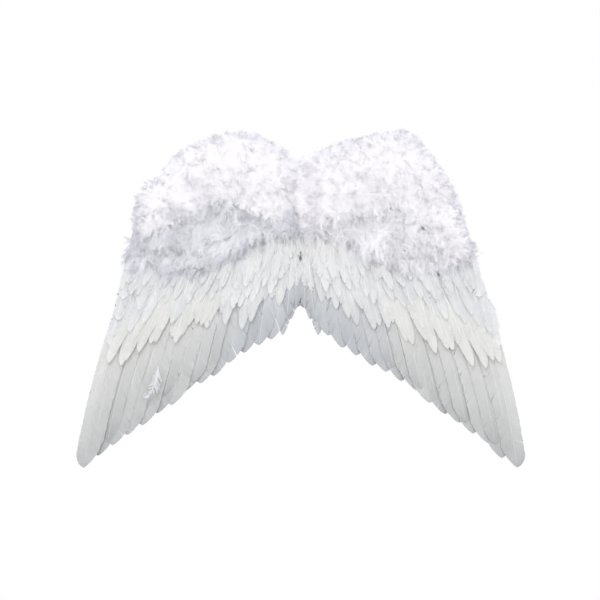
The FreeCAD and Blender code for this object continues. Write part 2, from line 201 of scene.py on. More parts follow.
def noise(tree, scale, detail=3.0, stretch=(1, 1, 1)):
    """Noise in the piece's own space. scale is per metre."""
    place = node(tree, "ShaderNodeTexCoord").outputs["Object"]
    spread = node(tree, "ShaderNodeMapping", {"Vector": place, "Scale": stretch}).outputs[0]
    return node(tree, "ShaderNodeTexNoise", {"Vector": spread, "Scale": scale, "Detail": detail}).outputs[0]


def noisy_material(name, dark, light, roughness, scale, bump=0.3, stretch=(1, 1, 1), **surface):
    """Colour and relief from noise."""
    made, tree = start_material(name)
    height = noise(tree, scale, 4.0, stretch)
    color = ramp(tree, height, [(0.3, dark), (0.7, light)])
    finish_material(tree, color, bumped(tree, height, bump, 0.4 * MM), roughness, **surface)
    return made


def feather_material(name, warm, cool, thin):
    """A vane: colour stops from root to tip, warm or cool, streaked by its fine barbs. The flight feathers'
    stops paint shade towards their tips.
    """
    made, tree = start_material(name)
    tone, barb = attribute(tree, "tone"), attribute(tree, "barb")
    base = node(tree, "ShaderNodeMix", {0: attribute(tree, "cool")}, data_type="RGBA")
    tree.links.new(ramp(tree, tone, warm), base.inputs[6])
    tree.links.new(ramp(tree, tone, cool), base.inputs[7])
    fine = node(tree, "ShaderNodeTexNoise", {"W": barb, "Scale": 1.4, "Detail": 3.0}, noise_dimensions="1D")
    streak = ramp(tree, fine.outputs[0], [(0.3, grey(0.94)), (0.6, grey(1.0))])
    cloud = ramp(tree, noise(tree, 38.0, 2.0), [(0.35, grey(0.95)), (0.65, grey(1.0))])
    color = multiply(tree, multiply(tree, base.outputs[2], streak), cloud)
    normal = bumped(tree, fine.outputs[0], 0.3, 0.3 * MM)
    finish_material(tree, color, normal, 0.5, thin=thin, sheen=0.1)
    return made


def felt_material(name, dark, light):
    """Pressed fibres: fine short strands crossing at random, with soft cloudy patches."""
    made, tree = start_material(name)
    upright = noise(tree, 1900, stretch=(1, 1, 0.16))
    level = noise(tree, 1900, stretch=(0.16, 1, 1))
    pair = node(tree, "ShaderNodeMath", {0: upright, 1: level}, operation="MAXIMUM").outputs[0]
    clumps = noise(tree, 900, stretch=(0.5, 1, 0.5))
    fibres = node(tree, "ShaderNodeMath", {0: pair, 1: clumps}, operation="MULTIPLY").outputs[0]
    cloud = ramp(tree, noise(tree, 45.0), [(0.3, grey(0.93)), (0.7, grey(1.0))])
    color = multiply(tree, ramp(tree, fibres, [(0.18, dark), (0.42, light)]), cloud)
    finish_material(tree, color, bumped(tree, fibres, 0.6, 0.3 * MM), 0.95, sheen=0.3)
    return made


def down_material(name, dark, light):
    """Down: cloudy, with painted shade that greys it towards its rim."""
    made, tree = start_material(name)
    height = noise(tree, 45.0, 4.0)
    # Painted shade: the down greys towards its rim, by the rim shade mask held in "inward".
    rim = [(0.0, (0.80, 0.80, 0.83)), (0.5, (0.93, 0.93, 0.945)), (1.0, grey(1.0))]
    color = multiply(
        tree,
        ramp(tree, height, [(0.3, dark), (0.7, light)]),
        ramp(tree, attribute(tree, "inward"), rim),
    )
    finish_material(tree, color, bumped(tree, height, 0.3, 0.4 * MM), 0.9, thin=0.2)
    return made


def webbing_material(name):
    """Ribbed elastic: fine ribs along its length and a knit across."""
    made, tree = start_material(name)
    heights = []
    for key, scale in (("across", 0.55), ("along", 0.8)):
        place = node(tree, "ShaderNodeCombineXYZ", {"X": attribute(tree, key)}).outputs[0]
        wave = node(tree, "ShaderNodeTexWave", {"Vector": place, "Scale": scale, "Distortion": 0.4})
        heights.append(wave.outputs["Fac"])
    both = node(tree, "ShaderNodeMath", {0: heights[0], 1: heights[1]}, operation="ADD").outputs[0]
    half = node(tree, "ShaderNodeMath", {0: both, 1: 0.5}, operation="MULTIPLY").outputs[0]
    color = ramp(tree, half, [(0.1, (0.52, 0.52, 0.53)), (0.7, (0.74, 0.74, 0.74))])
    finish_material(tree, color, bumped(tree, half, 0.6, 0.35 * MM), 0.75, sheen=0.2)
    return made


def make_materials():
    """Every material, by name."""
    # Painted shade: the flight feathers' colour stops darken from root to tip, standing in for the shade over
    # the lower wing.
    flight_warm_shaded_tips = [(0.0, (0.78, 0.78, 0.76)), (0.5, (0.705, 0.705, 0.69)), (0.8, (0.60, 0.607, 0.60)),
                   (1.0, (0.44, 0.452, 0.453))]
    flight_cool_shaded_tips = [(0.0, (0.74, 0.74, 0.74)), (0.5, (0.59, 0.605, 0.625)), (1.0, (0.47, 0.49, 0.52))]
    row_warm = [(0.0, (0.90, 0.90, 0.89)), (0.6, (0.91, 0.907, 0.885)), (1.0, (0.895, 0.89, 0.86))]
    row_cool = [(0.0, (0.89, 0.89, 0.90)), (0.6, (0.86, 0.865, 0.87)), (1.0, (0.78, 0.79, 0.80))]
    cover_warm = [(0.0, (0.86, 0.87, 0.89)), (0.5, (0.885, 0.893, 0.91)), (1.0, (0.94, 0.943, 0.94))]
    cover_cool = [(0.0, (0.96, 0.96, 0.96)), (0.5, (0.96, 0.96, 0.96)), (1.0, (0.98, 0.98, 0.975))]
    made = {
        "flight": feather_material("flight_vane", flight_warm_shaded_tips, flight_cool_shaded_tips, 0.15),
        "ivory": feather_material("secondary_vane", row_warm, row_cool, 0.3),
        "cover": feather_material("covert_vane", cover_warm, cover_cool, 0.35),
        "crest": down_material("crest_down", (0.88, 0.868, 0.884), (0.935, 0.925, 0.938)),
        # Painted light: the bank down is a shaded copy on the left and a lit copy on the right.
        "left_bank": down_material("left_bank_down", (0.79, 0.79, 0.82), (0.88, 0.88, 0.905)),
        "right_bank": down_material("right_bank_down", (0.87, 0.865, 0.885), (0.955, 0.95, 0.965)),
        "felt": felt_material("felt", (0.60, 0.60, 0.59), (0.74, 0.74, 0.73)),
        "pad": felt_material("pad", (0.66, 0.66, 0.655), (0.78, 0.78, 0.77)),
        "webbing": webbing_material("webbing"),
    }
    for name, dark, light, roughness, scale, more in (
        ("shaft", (0.84, 0.83, 0.80), (0.93, 0.925, 0.91), 0.35, 220, dict(bump=0.1)),
        ("flight_shaft", (0.66, 0.66, 0.63), (0.78, 0.78, 0.76), 0.4, 220, dict(bump=0.1)),
        ("board", (0.62, 0.61, 0.585), (0.72, 0.71, 0.69), 0.8, 260, dict(stretch=(1, 1, 0.15))),
        ("panel", (0.63, 0.63, 0.635), grey(0.70), 0.5, 700, dict(bump=0.15)),
        ("thread", (0.56, 0.56, 0.555), (0.80, 0.80, 0.79), 0.7, 900, dict(stretch=(1, 1, 4))),
        ("wire", (0.42, 0.43, 0.45), (0.62, 0.63, 0.65), 0.32, 300, dict(bump=0.05, metallic=1.0)),
        ("ferrule", (0.6, 0.61, 0.63), (0.78, 0.79, 0.8), 0.38, 500, dict(bump=0.2, metallic=1.0)),
        ("rivet", (0.66, 0.67, 0.69), (0.82, 0.83, 0.84), 0.28, 400, dict(bump=0.05, metallic=1.0)),
        ("floor", grey(0.60), grey(0.61), 0.9, 3, dict(bump=0.0)),
    ):
        made[name] = noisy_material(name, dark, light, roughness, scale, **more)
    return made


MATERIALS = make_materials()


# ------------ meshes


class Mesh:
    """Gathers grids of points into one object."""

    def __init__(self):
        self.points = []
        self.faces = []
        self.slots = []
        self.values = []
        self.normals = []
        self.count = 0

    def add(self, grids, slot=0, wrap=False, flip=False, values=(), normals=0.0):
        """grids is (how many, rows, columns, 3) in millimetres. values holds arrays of a number per point."""
        grids = np.asarray(grids, float)
        if grids.ndim == 3:
            grids = grids[None]
        many, rows, columns, _ = grids.shape
        index = np.arange(many * rows * columns).reshape(many, rows, columns)
        if wrap:
            index = np.concatenate([index, index[:, :, :1]], axis=2)
        corners = [index[:, :-1, :-1], index[:, :-1, 1:], index[:, 1:, 1:], index[:, 1:, :-1]]
        if flip:
            corners.reverse()
        faces = np.stack(corners, axis=-1).reshape(-1, 4)
        self.points.append(grids.reshape(-1, 3))
        self.faces.append(faces + self.count)
        self.slots.append(np.full(len(faces), slot))
        size = many * rows * columns
        full = [np.broadcast_to(value, (many, rows, columns)).reshape(-1) for value in values]
        self.values.append(np.array(full) if full else np.zeros((0, size)))
        self.normals.append(np.broadcast_to(normals, grids.shape).reshape(-1, 3))
        self.count += size

    def build(self, name, materials, keys=()):
        """The object, with its per-point values under keys."""
        data = bpy.data.meshes.new(name)
        data.from_pydata(np.concatenate(self.points) * MM, [], np.concatenate(self.faces))
        for material in materials:
            data.materials.append(MATERIALS[material])
        data.polygons.foreach_set("material_index", np.concatenate(self.slots).astype(np.int32))
        data.polygons.foreach_set("use_smooth", np.ones(len(data.polygons), bool))
        for row, key in enumerate(keys):
            layer = data.attributes.new(key, "FLOAT", "POINT")
            layer.data.foreach_set("value", np.concatenate([v[row] for v in self.values]).astype(np.float32))
        data.update()
        normals = np.concatenate(self.normals)
        if normals.any():
            data.normals_split_custom_set_from_vertices(normals)
        return placed(name, data)


def placed(name, data):
    """A new object in the scene."""
    made = bpy.data.objects.new(name, data)
    SCENE.collection.objects.link(made)
    return made


def shown(made):
    """made as its modifiers leave it."""
    return made.evaluated_get(bpy.context.evaluated_depsgraph_get())


def points_of(data):
    """A mesh's points as an array."""
    return np.array([v.co for v in data.vertices])


def unit(vectors):
    """Vectors of length one."""
    return vectors / np.maximum(np.linalg.norm(vectors, axis=-1, keepdims=True), 1e-9)


def smooth_step(low, high, value):
    """0 below low, 1 above high and smooth between."""
    share = np.clip((value - low) / (high - low), 0, 1)
    return share * share * (3 - 2 * share)


def mirrored(points, side):
    """The right wing's points, or their reflection for the left."""
    return points * np.array([SIGNS[side], 1, 1])


def rotation(axis, degrees):
    """A rotation matrix."""
    return np.array(Matrix.Rotation(math.radians(degrees), 3, axis))


def tube(mesh, path, radius, sides=8, slot=0, **options):
    """A round tube along path, with a radius at each of its points."""
    path = np.asarray(path, float)
    ahead = unit(np.gradient(path, axis=0))
    first = unit(np.cross(ahead, np.array([0.31, 1.0, 0.17])))
    second = np.cross(ahead, first)
    angle = np.linspace(0, 2 * math.pi, sides, endpoint=False)
    ring = np.cos(angle)[None, :, None] * first[:, None] + np.sin(angle)[None, :, None] * second[:, None]
    radius = np.broadcast_to(radius, len(path))[:, None, None]
    mesh.add(path[:, None] + ring * radius, slot=slot, wrap=True, **options)


# ------------ feathers


@dataclass
class Feather:
    """One feather's sizes, in millimetres and degrees, and where its tip goes."""

    tip: tuple
    length: float
    lean: float
    half_width: float = 13.0
    bare: float = 30.0
    roll: float = 8.0
    slant: float = 0.0
    depth: float = FLIGHT_DEPTH
    bow: float = 0.0
    curl: float = 0.0
    camber: float = 1.4
    shaft: float = 1.1
    barb: float = 1.1
    splits: int = 5
    gap: float = 1.2
    ragged: float = 0.03
    taper: tuple = (1.1, 1.7)
    fullness: float = 0.3
    tone: tuple = (0.0, 1.0)
    cool: float = 0.0


def feather_shape(feather, local):
    """Bends local points, (x, y, distance down the shaft), and puts them on the right wing."""
    x, y, down = local[..., 0], local[..., 1], local[..., 2]
    share = down / feather.length
    x = x + feather.bow * 4 * share * (1 - share)
    y = y + feather.curl * share**2
    turned = np.stack([x, y, -down], axis=-1)
    turn = rotation("Y", -feather.lean) @ rotation("X", -feather.slant) @ rotation("Z", feather.roll)
    lean = math.radians(feather.lean)
    root = np.array([
        feather.tip[0] - feather.length * math.sin(lean),
        -feather.depth,
        feather.tip[1] + feather.length * math.cos(lean),
    ])
    return turned @ turn.T + root


def vane_reach(span, width, share, taper, fullness):
    """How far the vane stands out, share of the way down its shaft. Low fullness cuts the tip straight."""
    grow = np.clip(share * span / (1.7 * width), 0, 1) ** 0.6
    taper_from = max(1 - taper * width / span, 0.2)
    past = np.clip((share - taper_from) / (1 - taper_from), 0, 1)
    tip = np.clip(1 - past ** (1 + fullness), 0, 1) ** (0.85 - 0.3 * fullness)
    return width * grow * tip * (1 - 0.1 * share)


def vane(mesh, rng, feather, side, outward, width, taper, fullness):
    """One half of a vane, in groups of barbs that part at the splits."""
    span = feather.length - feather.bare
    rows = max(int(span / feather.barb), 14)
    across = np.array([0, 0.2, 0.45, 0.75, 1.0])
    root = np.linspace(0, 1, rows)
    edge = root + 1.15 * width / span * (1 - root**3)
    reach = vane_reach(span, width, edge, taper, fullness) * (1 + rng.normal(0, feather.ragged, rows))
    ripple = np.convolve(rng.normal(0, 1, rows + 6), np.ones(7) / 7, "valid") * 0.45
    ripple = ripple + rng.normal(0, 0.07, rows)
    cuts = np.sort(rng.choice(np.arange(5, rows - 3), feather.splits, replace=False))
    bounds = [0, *cuts.tolist(), rows - 1]
    for start, end in zip(bounds[:-1], bounds[1:]):
        if end - start < 2:
            continue
        pick = slice(start, end + 1)
        local = np.linspace(-1, 1, end - start + 1)[:, None]
        gap = rng.uniform(0.25, 1) * feather.gap
        down = root[pick, None] + (edge - root)[pick, None] * across**1.25
        down = feather.bare + span * down - local * gap * across**1.6
        x = outward * reach[pick, None] * across
        y = feather.camber * across**2 * (reach / width)[pick, None] + ripple[pick, None] * across
        y = y + rng.normal(0, 0.22) * across
        tone = feather.tone[0] + (feather.tone[1] - feather.tone[0]) * down / feather.length
        barb = np.broadcast_to(feather.bare + span * root[pick, None], down.shape)
        points = feather_shape(feather, np.stack([x, y, down], axis=-1))
        flip = (outward > 0) == (SIGNS[side] > 0)
        mesh.add(mirrored(points, side), flip=flip, values=(tone, barb, feather.cool))


def add_feather(mesh, rng, feather, side):
    """A whole feather: both halves of its vane and its shaft."""
    outer, inner = feather.taper
    vane(mesh, rng, feather, side, 1, feather.half_width * 0.88, outer, 1.0)
    vane(mesh, rng, feather, side, -1, feather.half_width * 1.1, inner, feather.fullness)
    down = np.linspace(0, 0.975, 16) * feather.length
    local = np.stack([np.zeros(16), np.full(16, -0.1), down], axis=-1)
    path = mirrored(feather_shape(feather, local), side)
    radius = feather.shaft * (1 - down / feather.length) ** 0.8 + 0.16
    tube(mesh, path, radius, sides=6, slot=1, values=(0, 0, 0))


def finish_feathers(mesh, name, material, replaced=(), body=None, bends=False):
    """Turns gathered feathers into one piece, on the wing that its name starts with unless body is given, or
    with bends on no body, its placement baked into its points.
    """
    shaft = "flight_shaft" if material == "flight" else "shaft"
    made = mesh.build(name, [material, shaft], keys=("tone", "barb", "cool"))
    attach(made, body or name.split("_")[0] + "_wing", bends)
    if replaced:
        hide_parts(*replaced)


def attach(made, body, bends=False):
    """made rides on a body, or with bends has its placement baked into its points and rides on none."""
    if not bends:
        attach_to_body(made, body)
        return
    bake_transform(made)


def flight(side, share, jitter, **changes):
    """A flight feather at a share of the way from the centre to the wing's tip."""
    tip_x = TIP_X[0] + (TIP_X[1] - TIP_X[0]) * share
    tip_z = TRAILING_EDGE[0] + TRAILING_EDGE[1] * tip_x + 7 * math.sin(math.pi * share)
    tip_z += 3.5 * jitter[1] * (share < 0.95)
    shape = dict(
        tip=(tip_x + 1.5 * jitter[0], tip_z),
        length=90 + 165 * share,
        lean=8 + 22 * share + (0.25 * DRAWN_IN[side] - 16.2) * share**2 + 0.6 * jitter[2],
        half_width=15.5 + 1.5 * share,
        bare=26 + 12 * share,
        bow=1.5 + 5 * share**2,
        curl=3 + 2 * jitter[3],
        roll=10 + 2 * jitter[4],
        shaft=0.7 + 0.25 * share,
        camber=1.7, splits=3, gap=0.4, ragged=0.02,
        tone=(0.0, 0.98 + 0.06 * jitter[3]),
        cool=1 - float(smooth_step(0.1, 0.55, share)),
    )
    shape.update(changes)
    return Feather(**shape)


def flight_feathers(side):
    """The long feathers of one wing, a piece each, in place of their CAD nodes, and narrow ones between."""
    rng = np.random.default_rng(11 + SIGNS[side])
    for i in range(FLIGHT_COUNT):
        mesh = Mesh()
        add_feather(mesh, rng, flight(side, i / (FLIGHT_COUNT - 1), rng.uniform(-1, 1, 5)), side)
        finish_feathers(mesh, f"{side}_flight_vane_{i + 1:02d}", "flight",
                        [f"{side}_flight_feather_{i + 1:02d}"])
    mesh = Mesh()
    for i in range(4, FLIGHT_COUNT - 1):
        feather = flight(side, (i + 0.5) / (FLIGHT_COUNT - 1), rng.uniform(-1, 1, 5), half_width=12.0,
                         depth=FLIGHT_DEPTH + 1.2)
        feather.length *= 0.9
        feather.tip = (feather.tip[0] - 1.5, feather.tip[1] + 7 + rng.uniform(0, 8))
        add_feather(mesh, rng, feather, side)
    finish_feathers(mesh, f"{side}_flight_vanes_between", "flight")


def row_feathers(side, seed, tips_x, tips_z, lengths, count, stagger, **shape):
    """Feathers between the first and the last tip, each a little out of line."""
    rng = np.random.default_rng(seed + SIGNS[side])
    mesh = Mesh()
    for i in range(count):
        share = i / (count - 1)
        jitter = rng.uniform(-1, 1, 7)
        x, z, length = (a + (b - a) * share for a, b in (tips_x, tips_z, lengths))
        x -= DRAWN_IN[side] * share
        feather = Feather(
            tip=(x + 3 * jitter[0], z + stagger * jitter[1]),
            length=length * (1 + 0.06 * jitter[2]),
            lean=7 + 22 * share - 10 * share**2 + 5 * jitter[3],
            curl=1 + 1.5 * jitter[4],
            bow=2 * jitter[5],
            tone=(0.1 + 0.1 * jitter[6], 0.9 + 0.15 * jitter[6]),
            cool=float(np.clip(1 - smooth_step(0.1, 0.5, share) + 0.3 * jitter[6], 0, 1)),
            **shape,
        )
        add_feather(mesh, rng, feather, side)
    return mesh


def secondary_feathers(side):
    """The ivory feathers over the flight feathers' middles."""
    mesh = row_feathers(side, 31, (30, 270), (-100, -178), (84, 134), ROW_COUNT, 17, half_width=8.5,
                        bare=20, roll=4, slant=2, depth=ROW_DEPTH + 2.4, camber=0.8, shaft=0.6, barb=1.0,
                        splits=3, gap=0.5, ragged=0.03, taper=(3.2, 4.5), fullness=0.5)
    finish_feathers(mesh, f"{side}_secondary_vanes", "ivory", [f"{side}_secondary_feathers"])


def covert_feathers(side):
    """Two rows of small feathers with bright shafts under the down."""
    shape = dict(roll=3, camber=0.8, shaft=0.6, barb=0.9, splits=4, gap=0.6, ragged=0.05, fullness=0.5)
    lower = row_feathers(side, 41, (32, 258), (-81, -128), (76, 96), ROW_COUNT, 17, half_width=7.5,
                         slant=1.8, depth=ROW_DEPTH + 4.6, taper=(3.2, 4.4), bare=14, **shape)
    finish_feathers(lower, f"{side}_covert_vanes", "cover", [f"{side}_covert_feathers"])
    upper = row_feathers(side, 47, (35, 246), (-55, -92), (64, 72), ROW_COUNT - 1, 15, half_width=7,
                         slant=1.6, depth=ROW_DEPTH + 7.0, taper=(2.8, 3.8), bare=5, **shape)
    finish_feathers(upper, f"{side}_upper_covert_vanes", "cover")


def quills(side):
    """Bare bright shafts that lie over the coverts below the down."""
    rng = np.random.default_rng(63 + SIGNS[side])
    mesh = Mesh()
    for share in np.linspace(0.05, 0.95, 11):
        jitter = rng.uniform(-1, 1, 5)
        lean = math.radians(8 + 24 * share + 9 * jitter[0])
        start = np.array([14 + 215 * share, 0, -22 - 52 * min(share * 1.7, 1) + 10 * jitter[1]])
        length = 26 + 8 * jitter[2]
        way = np.array([math.sin(lean), 0, -math.cos(lean)])
        steps = np.linspace(0, 1, 9)[:, None]
        path = start + way * length * steps + np.array([2.5 * jitter[3], 0, 0]) * steps**2
        path[:, 1] = -(ROW_DEPTH + 12.5 - 3.0 * steps[:, 0] ** 2 + jitter[4])
        tube(mesh, mirrored(path, side), 0.55 - 0.35 * steps[:, 0], sides=6)
    made = mesh.build(f"{side}_quills", ["shaft"])
    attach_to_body(made, f"{side}_wing")


def edge_feathers(side):
    """Separate covert tips along the wing's outer edge."""
    rng = np.random.default_rng(53 + SIGNS[side])
    first, last = EDGE_TIPS[side]
    mesh = Mesh()
    for share in np.linspace(0, 1, 9):
        jitter = rng.uniform(-1, 1, 4)
        tip = (first[0] + (last[0] - first[0]) * share + 2 * jitter[0],
               first[1] + (last[1] - first[1]) * share + 3 * jitter[1])
        feather = Feather(tip=tip, length=58 + 14 * share, lean=19 + 4 * jitter[2], half_width=8.5, bare=14,
                          roll=4, slant=4, depth=ROW_DEPTH + 2.0 + 2.5 * (1 - share), bow=3,
                          curl=1 + 2 * jitter[3], shaft=0.6, barb=0.9, splits=4, gap=1.0, ragged=0.07,
                          taper=(1.7, 1.6), fullness=0.8)
        add_feather(mesh, rng, feather, side)
    finish_feathers(mesh, f"{side}_edge_vanes", "cover")


def inner_feathers(side):
    """Short feathers that close the wing towards the centre notch."""
    rng = np.random.default_rng(59 + SIGNS[side])
    for name, material, lengths in (
        ("inner_flight_vanes", "flight", [
            ((13, -120), 82, 3, 19.6), ((24, -141), 94, 5, 20.4), ((6, -106), 72, 0, 21.0),
            ((19, -122), 80, 5, 21.8),
        ]),
        ("inner_covert_vanes", "cover", [
            ((6, -76), 54, 0, 22.6), ((15, -82), 58, 4, 23.4), ((9, -52), 46, 1, 24.6),
            ((21, -58), 50, 5, 25.4), ((4, -34), 38, -2, 26.4), ((14, -38), 40, 4, 27.2),
            ((27, -66), 56, 6, 26.2), ((8, -30), 48, 1, 25.8), ((20, -36), 54, 4, 25.2),
            ((30, -46), 56, 6, 25.6),
        ]),
    ):
        mesh = Mesh()
        for tip, length, lean, depth in lengths:
            feather = Feather(tip=tip, length=length, lean=lean + rng.uniform(-1.5, 1.5), half_width=8,
                              bare=12, roll=4, slant=1, depth=depth, curl=1.5, shaft=0.65, barb=0.9,
                              splits=4, gap=1.0, ragged=0.05, taper=(2.8, 3.6), fullness=0.6, cool=1)
            add_feather(mesh, rng, feather, side)
        finish_feathers(mesh, f"{side}_{name}", material, bends=True)


def centre_feathers():
    """Small feathers and quills that hang in the notch, on the back panel."""
    rng = np.random.default_rng(61)
    mesh = Mesh()
    for x, z, length, lean, depth in (
        (-3.5, -103, 66, -4, 13.0), (3.5, -105, 68, 4, 12.4), (0, -90, 60, 0, 15.0), (-4, -66, 44, -6, 16.0),
        (4, -64, 42, 6, 15.6), (0, -50, 40, 0, 16.5), (-2, -36, 34, -3, 17.2), (3, -40, 34, 3, 17.8),
    ):
        feather = Feather(tip=(x, z), length=length, lean=lean, half_width=4.2, bare=16, roll=0, depth=depth,
                          shaft=0.8, barb=0.8, splits=4, ragged=0.1, camber=0.8, cool=1)
        add_feather(mesh, rng, feather, "right")
    finish_feathers(mesh, "centre_vanes", "flight", ["centre_feathers"], body="back_panel")


def stray_feather():
    """One small curled feather that lies loose on the left wing, its barbs apart."""
    rng = np.random.default_rng(67)
    mesh = Mesh()
    feather = Feather(tip=(208, -226), length=46, lean=22, half_width=7, bare=3, roll=-4, slant=3, depth=27.5,
                      bow=-5, curl=-2, shaft=0.45, barb=1.0, splits=14, gap=2.0, ragged=0.12, tone=(0, 0.1))
    add_feather(mesh, rng, feather, "left")
    finish_feathers(mesh, "left_stray_feather", "cover")


# ------------ down


def spline(points, count, closed=True):
    """A smooth line through points, as count points."""
    points = np.asarray(points, float)
    if not closed:
        points = np.concatenate([2 * points[:1] - points[1:2], points, 2 * points[-1:] - points[-2:-1]])
    many = len(points)
    if closed:
        place = np.linspace(0, many, count, endpoint=False)
    else:
        place = np.linspace(1, many - 2 - 1e-6, count)
    i = place.astype(int)
    t = (place - i)[:, None]
    p0, p1, p2, p3 = (points[(i + k) % many] for k in (-1, 0, 1, 2))
    return 0.5 * (
        2 * p1 + (p2 - p0) * t + (2 * p0 - 5 * p1 + 4 * p2 - p3) * t**2 + (3 * p1 - p0 - 3 * p2 + p3) * t**3
    )


class Mound:
    """A soft body of down inside an outline, swollen into puffs, from which plumes grow."""

    def __init__(self, edge, back, rim, crown, seed, puff, swell):
        line = spline(edge, 160)
        self.middle = line.mean(axis=0)
        self.line = line + unit(line - self.middle) * MOUND_GROWTH
        if self.middle[0] > MOUND_GROWTH:
            self.line[:, 0] = np.maximum(self.line[:, 0], 0.5)
        self.back, self.rim, self.crown, self.puff, self.swell = back, rim, crown, puff, swell
        rng = np.random.default_rng(seed)
        centres = []
        for place in rng.uniform(self.line.min(axis=0) - puff, self.line.max(axis=0) + puff, (1500, 2)):
            if all(np.linalg.norm(place - other) > 1.3 * puff for other in centres):
                centres.append(place)
        self.centres = np.array(centres)
        self.heights = rng.uniform(-0.3, 0.3, len(centres))
        arms = self.line - self.middle
        following = np.roll(arms, -1, axis=0)
        area = np.abs(arms[:, 0] * following[:, 1] - arms[:, 1] * following[:, 0])
        self.area = area / area.sum()
        step = np.linalg.norm(following - arms, axis=1)
        self.step = step / step.sum()

    def puffed(self, x, z):
        """How much the down swells at a place: high on a puff, low in the creases between."""
        bent = np.stack([x + 4 * np.sin(z / 13 + x / 31), z + 4 * np.sin(x / 11 - z / 29)], axis=-1)
        away = np.linalg.norm(bent[..., None, :] - self.centres, axis=-1) / self.puff
        domes = np.clip(1 - away**2, 0, 1) * (1 + self.heights)
        return (domes**3).sum(axis=-1) ** (1 / 3)

    def at(self, around, inward, front=True):
        """Surface points. around is 0 to 1 along the outline, and inward 0 at the rim, 1 in the middle."""
        place = around * len(self.line)
        i = place.astype(int) % len(self.line)
        t = (place - place.astype(int))[..., None]
        edge = self.line[i] * (1 - t) + self.line[(i + 1) % len(self.line)] * t
        flat = self.middle + (edge - self.middle) * (1 - inward)[..., None]
        rise = np.sqrt(np.clip(1 - (1 - np.clip(inward * 2.2, 0, 1)) ** 2, 0, 1))
        if front:
            crown = self.crown + self.swell * self.puffed(flat[..., 0], flat[..., 1])
            depth = self.rim + (crown - self.rim) * rise
        else:
            depth = self.rim + (self.back - self.rim) * rise
        return np.stack([flat[..., 0], -depth, flat[..., 1]], axis=-1)

    def facing(self, around, inward, front=True):
        """The surface's outward normals."""
        low, high = np.clip(inward - 0.012, 0, 0.97), np.clip(inward + 0.012, 0.02, 0.99)
        along = self.at((around + 0.003) % 1, inward, front) - self.at((around - 0.003) % 1, inward, front)
        across = self.at(around, high, front) - self.at(around, low, front)
        normals = unit(np.cross(along, across))
        return normals * np.sign(normals[..., 1:2]) * (-1 if front else 1)

    def outward(self, around):
        """The outline's outward direction."""
        rim = np.zeros_like(around)
        ahead = self.at((around + 0.004) % 1, rim) - self.at((around - 0.004) % 1, rim)
        out = np.stack([-ahead[..., 2], rim, ahead[..., 0]], axis=-1)
        away = self.at(around, rim) - np.array([self.middle[0], 0, self.middle[1]])
        return unit(out * np.sign((out * away).sum(axis=-1, keepdims=True)))

    def mesh(self, mesh, side):
        """The closed body itself, under the plumes."""
        around = np.linspace(0, 1, 161)[:-1][None, :]
        inward = np.linspace(0, 0.999, 26)[:, None]
        around, inward = np.broadcast_arrays(around, inward)
        for front in (True, False):
            points = self.at(around, inward, front)
            points[..., 1] += 2.5 * smooth_step(0, 0.1, inward) * front
            # tone is the mask of the painted shade at the rim.
            tone = rim_shade_mask(inward, points[..., 0])
            mesh.add(mirrored(points, side), wrap=True, flip=front == (SIGNS[side] > 0), values=(tone,))


@dataclass
class Plumes:
    """How a patch of down plumes looks, in millimetres."""

    length: float = 22
    barb: float = 8
    barbs: int = 56
    width: float = 0.34
    lift: float = 0.14
    droop: float = 0.06
    flow: tuple = (0.30, 0, -1)
    flare: float = 1.0
    spread: float = 0.8
    shade: float = 0.15
    front: bool = True
    sunk: float = 2.0
    high: float = 0.98


def rim_shade_mask(inward, x):
    """The painted rim shade's mask: 0 at a mound's rim, where the down is painted greyest, 1 well inside it,
    and in between along the join between the wings.
    """
    return np.maximum(smooth_step(-0.02, 0.24, inward), 0.55 * (1 - smooth_step(12, 40, np.abs(x))))


def held_forward(points):
    """Points pushed out of the wing's board, wherever they lie over it."""
    x, z = points[..., 0], points[..., 2]
    over_board = (z < BOARD_TOP) & (x < BOARD_X[1]) & (x > BOARD_X[0])
    points[..., 1] = np.minimum(points[..., 1], np.where(over_board, -DOWN_BACK, -10.0))
    return points


